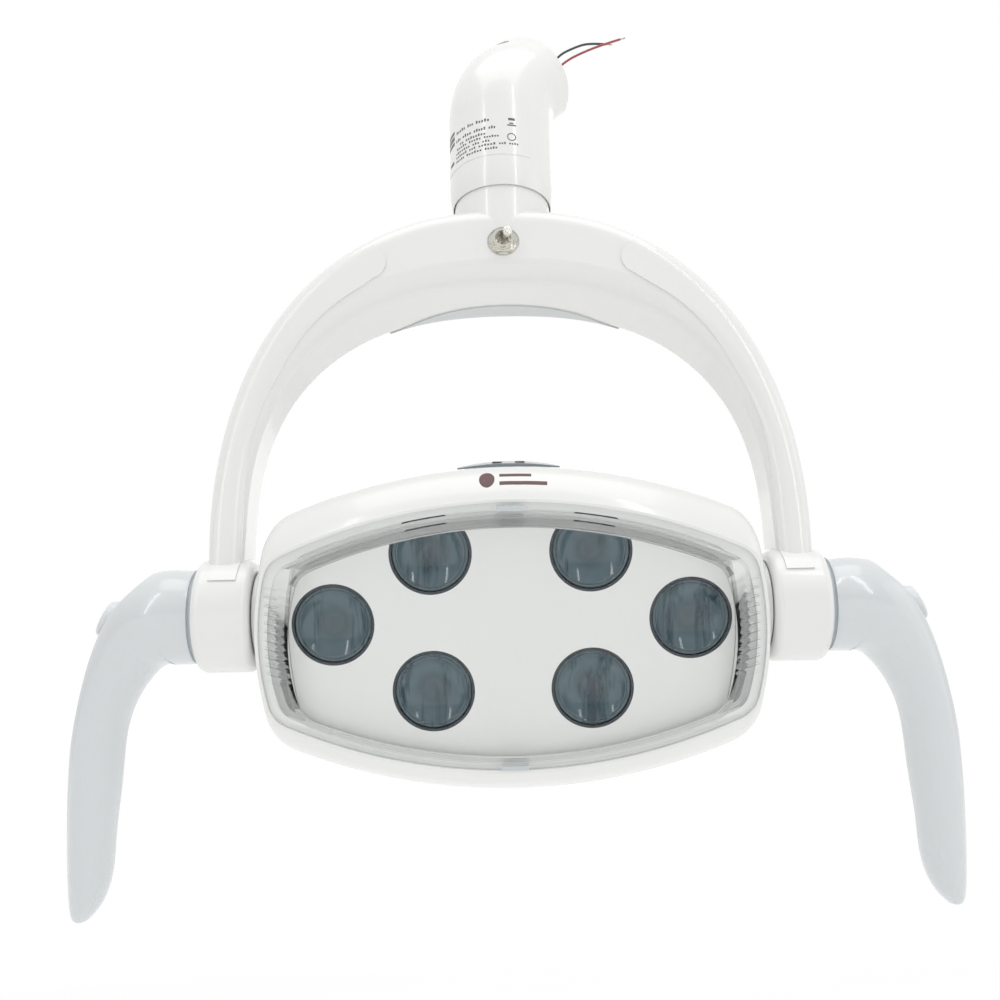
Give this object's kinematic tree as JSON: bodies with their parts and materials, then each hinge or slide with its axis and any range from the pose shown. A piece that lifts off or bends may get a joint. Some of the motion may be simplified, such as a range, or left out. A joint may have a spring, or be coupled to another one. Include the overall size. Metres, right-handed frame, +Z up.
{
  "type": "dental operating light",
  "caption": "Dental operating light: an elbow for the arm, a swivelling arched yoke with a toggle switch, a tilting lamp head with round lenses and a pull-off handle on each side.",
  "frame": {"origin": "centre of the arm socket's mouth on top of the elbow", "axes": "+X along the tilt axis towards the right handle, +Z up along the swivel axis, the lamp faces -Y"},
  "size_m": [0.477, 0.1233, 0.5327],
  "materials": {
    "white": "gloss",
    "white_inner": "satin",
    "handle": "gloss",
    "button_grey": "gloss",
    "collar": "satin",
    "lens": "gloss",
    "lens_ring": "satin",
    "clear": "gloss",
    "steel": "brushed",
    "zinc": "polished",
    "aluminium": "satin",
    "die_cast": "gloss",
    "bronze": "satin",
    "nylon": "satin",
    "black_plastic": "satin",
    "red_lead": "satin",
    "black_lead": "satin",
    "cable": "matte",
    "tinned": "satin",
    "film": "satin",
    "board": "satin",
    "led": "gloss",
    "reflector": "polished",
    "pad_grey": "satin",
    "clip": "satin",
    "grey_cover": "satin"
  },
  "bodies": {
    "elbow": {"elbow_casing": "white", "socket_insert": "aluminium", "arm_screw": "steel", "lead_clamp": "nylon", "lead_red": "red_lead", "lead_black": "black_lead", "lead_tips": "tinned", "type_film": "film", "swivel_housing": "aluminium", "swivel_bush": "bronze", "tension_screw": "steel"},
    "yoke": {"yoke_front_shell": "white", "yoke_rear_shell": "white", "shell_screws": "zinc", "yoke_frame": "aluminium", "swivel_shaft": "steel", "thrust_washer": "nylon", "shaft_circlip": "steel", "neck_cable": "cable", "hub_bushes": "nylon", "trim_left": "white", "trim_right": "white", "channel_cover": "grey_cover", "switch_washer": "zinc", "switch_body": "zinc", "switch_nut": "zinc"},
    "toggle": {"switch_lever": "zinc"},
    "head": {"rear_shell": "white", "bezel": "white", "hub_bosses": "white", "tilt_spindles": "steel", "chassis": "aluminium", "heat_sink": "aluminium", "driver_board": "board", "lens_panel": "white", "lens_1": "lens", "lens_2": "lens", "lens_3": "lens", "lens_4": "lens", "lens_5": "lens", "lens_6": "lens", "reflectors": "reflector", "lens_rings": "lens_ring", "led_boards": "aluminium", "led_emitters": "led", "control_pad": "pad_grey"},
    "cover": {"front_cover": "clear", "cover_clips": "clip"},
    "dimmer_down": {"dimmer_down": "black_plastic"},
    "dimmer_up": {"dimmer_up": "black_plastic"},
    "grip_left": {"handle_left": "handle", "collar_left": "collar", "button_spring_left": "steel"},
    "release_left": {"release_button_left": "button_grey"},
    "grip_right": {"handle_right": "handle", "collar_right": "collar", "button_spring_right": "steel"},
    "release_right": {"release_button_right": "button_grey"}
  },
  "joints": [
    {"name": "yoke_swivel", "type": "hinge", "parent": "elbow", "child": "yoke", "pos_m": [-0.01708, -0.02035, -0.10463], "axis": [0, 0, 1], "range_deg": [-165, 165]},
    {"name": "head_tilt", "type": "hinge", "parent": "yoke", "child": "head", "pos_m": [-0.01708, -0.02035, -0.34963], "axis": [1, 0, 0], "range_deg": [-60, 85]},
    {"name": "switch_flip", "type": "hinge", "parent": "yoke", "child": "toggle", "pos_m": [-0.01708, -0.04785, -0.14163], "axis": [0, 0, 1], "range_deg": [-24, 0]},
    {"name": "cover_pull", "type": "slide", "parent": "head", "child": "cover", "axis": [0, -0.9171, -0.3987], "range_m": [0, 0.04]},
    {"name": "dimmer_down_press", "type": "slide", "parent": "head", "child": "dimmer_down", "axis": [0, 0.3987, -0.9171], "range_m": [0, 0.0008], "stiffness_N_per_m": 800},
    {"name": "dimmer_up_press", "type": "slide", "parent": "head", "child": "dimmer_up", "axis": [0, 0.3987, -0.9171], "range_m": [0, 0.0008], "stiffness_N_per_m": 800},
    {"name": "handle_left_pull", "type": "slide", "parent": "head", "child": "grip_left", "axis": [-1, 0, 0], "range_m": [0, 0.03]},
    {"name": "release_left_press", "type": "slide", "parent": "grip_left", "child": "release_left", "axis": [1, 0, 0], "range_m": [0, 0.004], "stiffness_N_per_m": 500, "deforming": ["button_spring_left"]},
    {"name": "handle_right_pull", "type": "slide", "parent": "head", "child": "grip_right", "axis": [1, 0, 0], "range_m": [0, 0.03]},
    {"name": "release_right_press", "type": "slide", "parent": "grip_right", "child": "release_right", "axis": [-1, 0, 0], "range_m": [0, 0.004], "stiffness_N_per_m": 500, "deforming": ["button_spring_right"]}
  ]
}
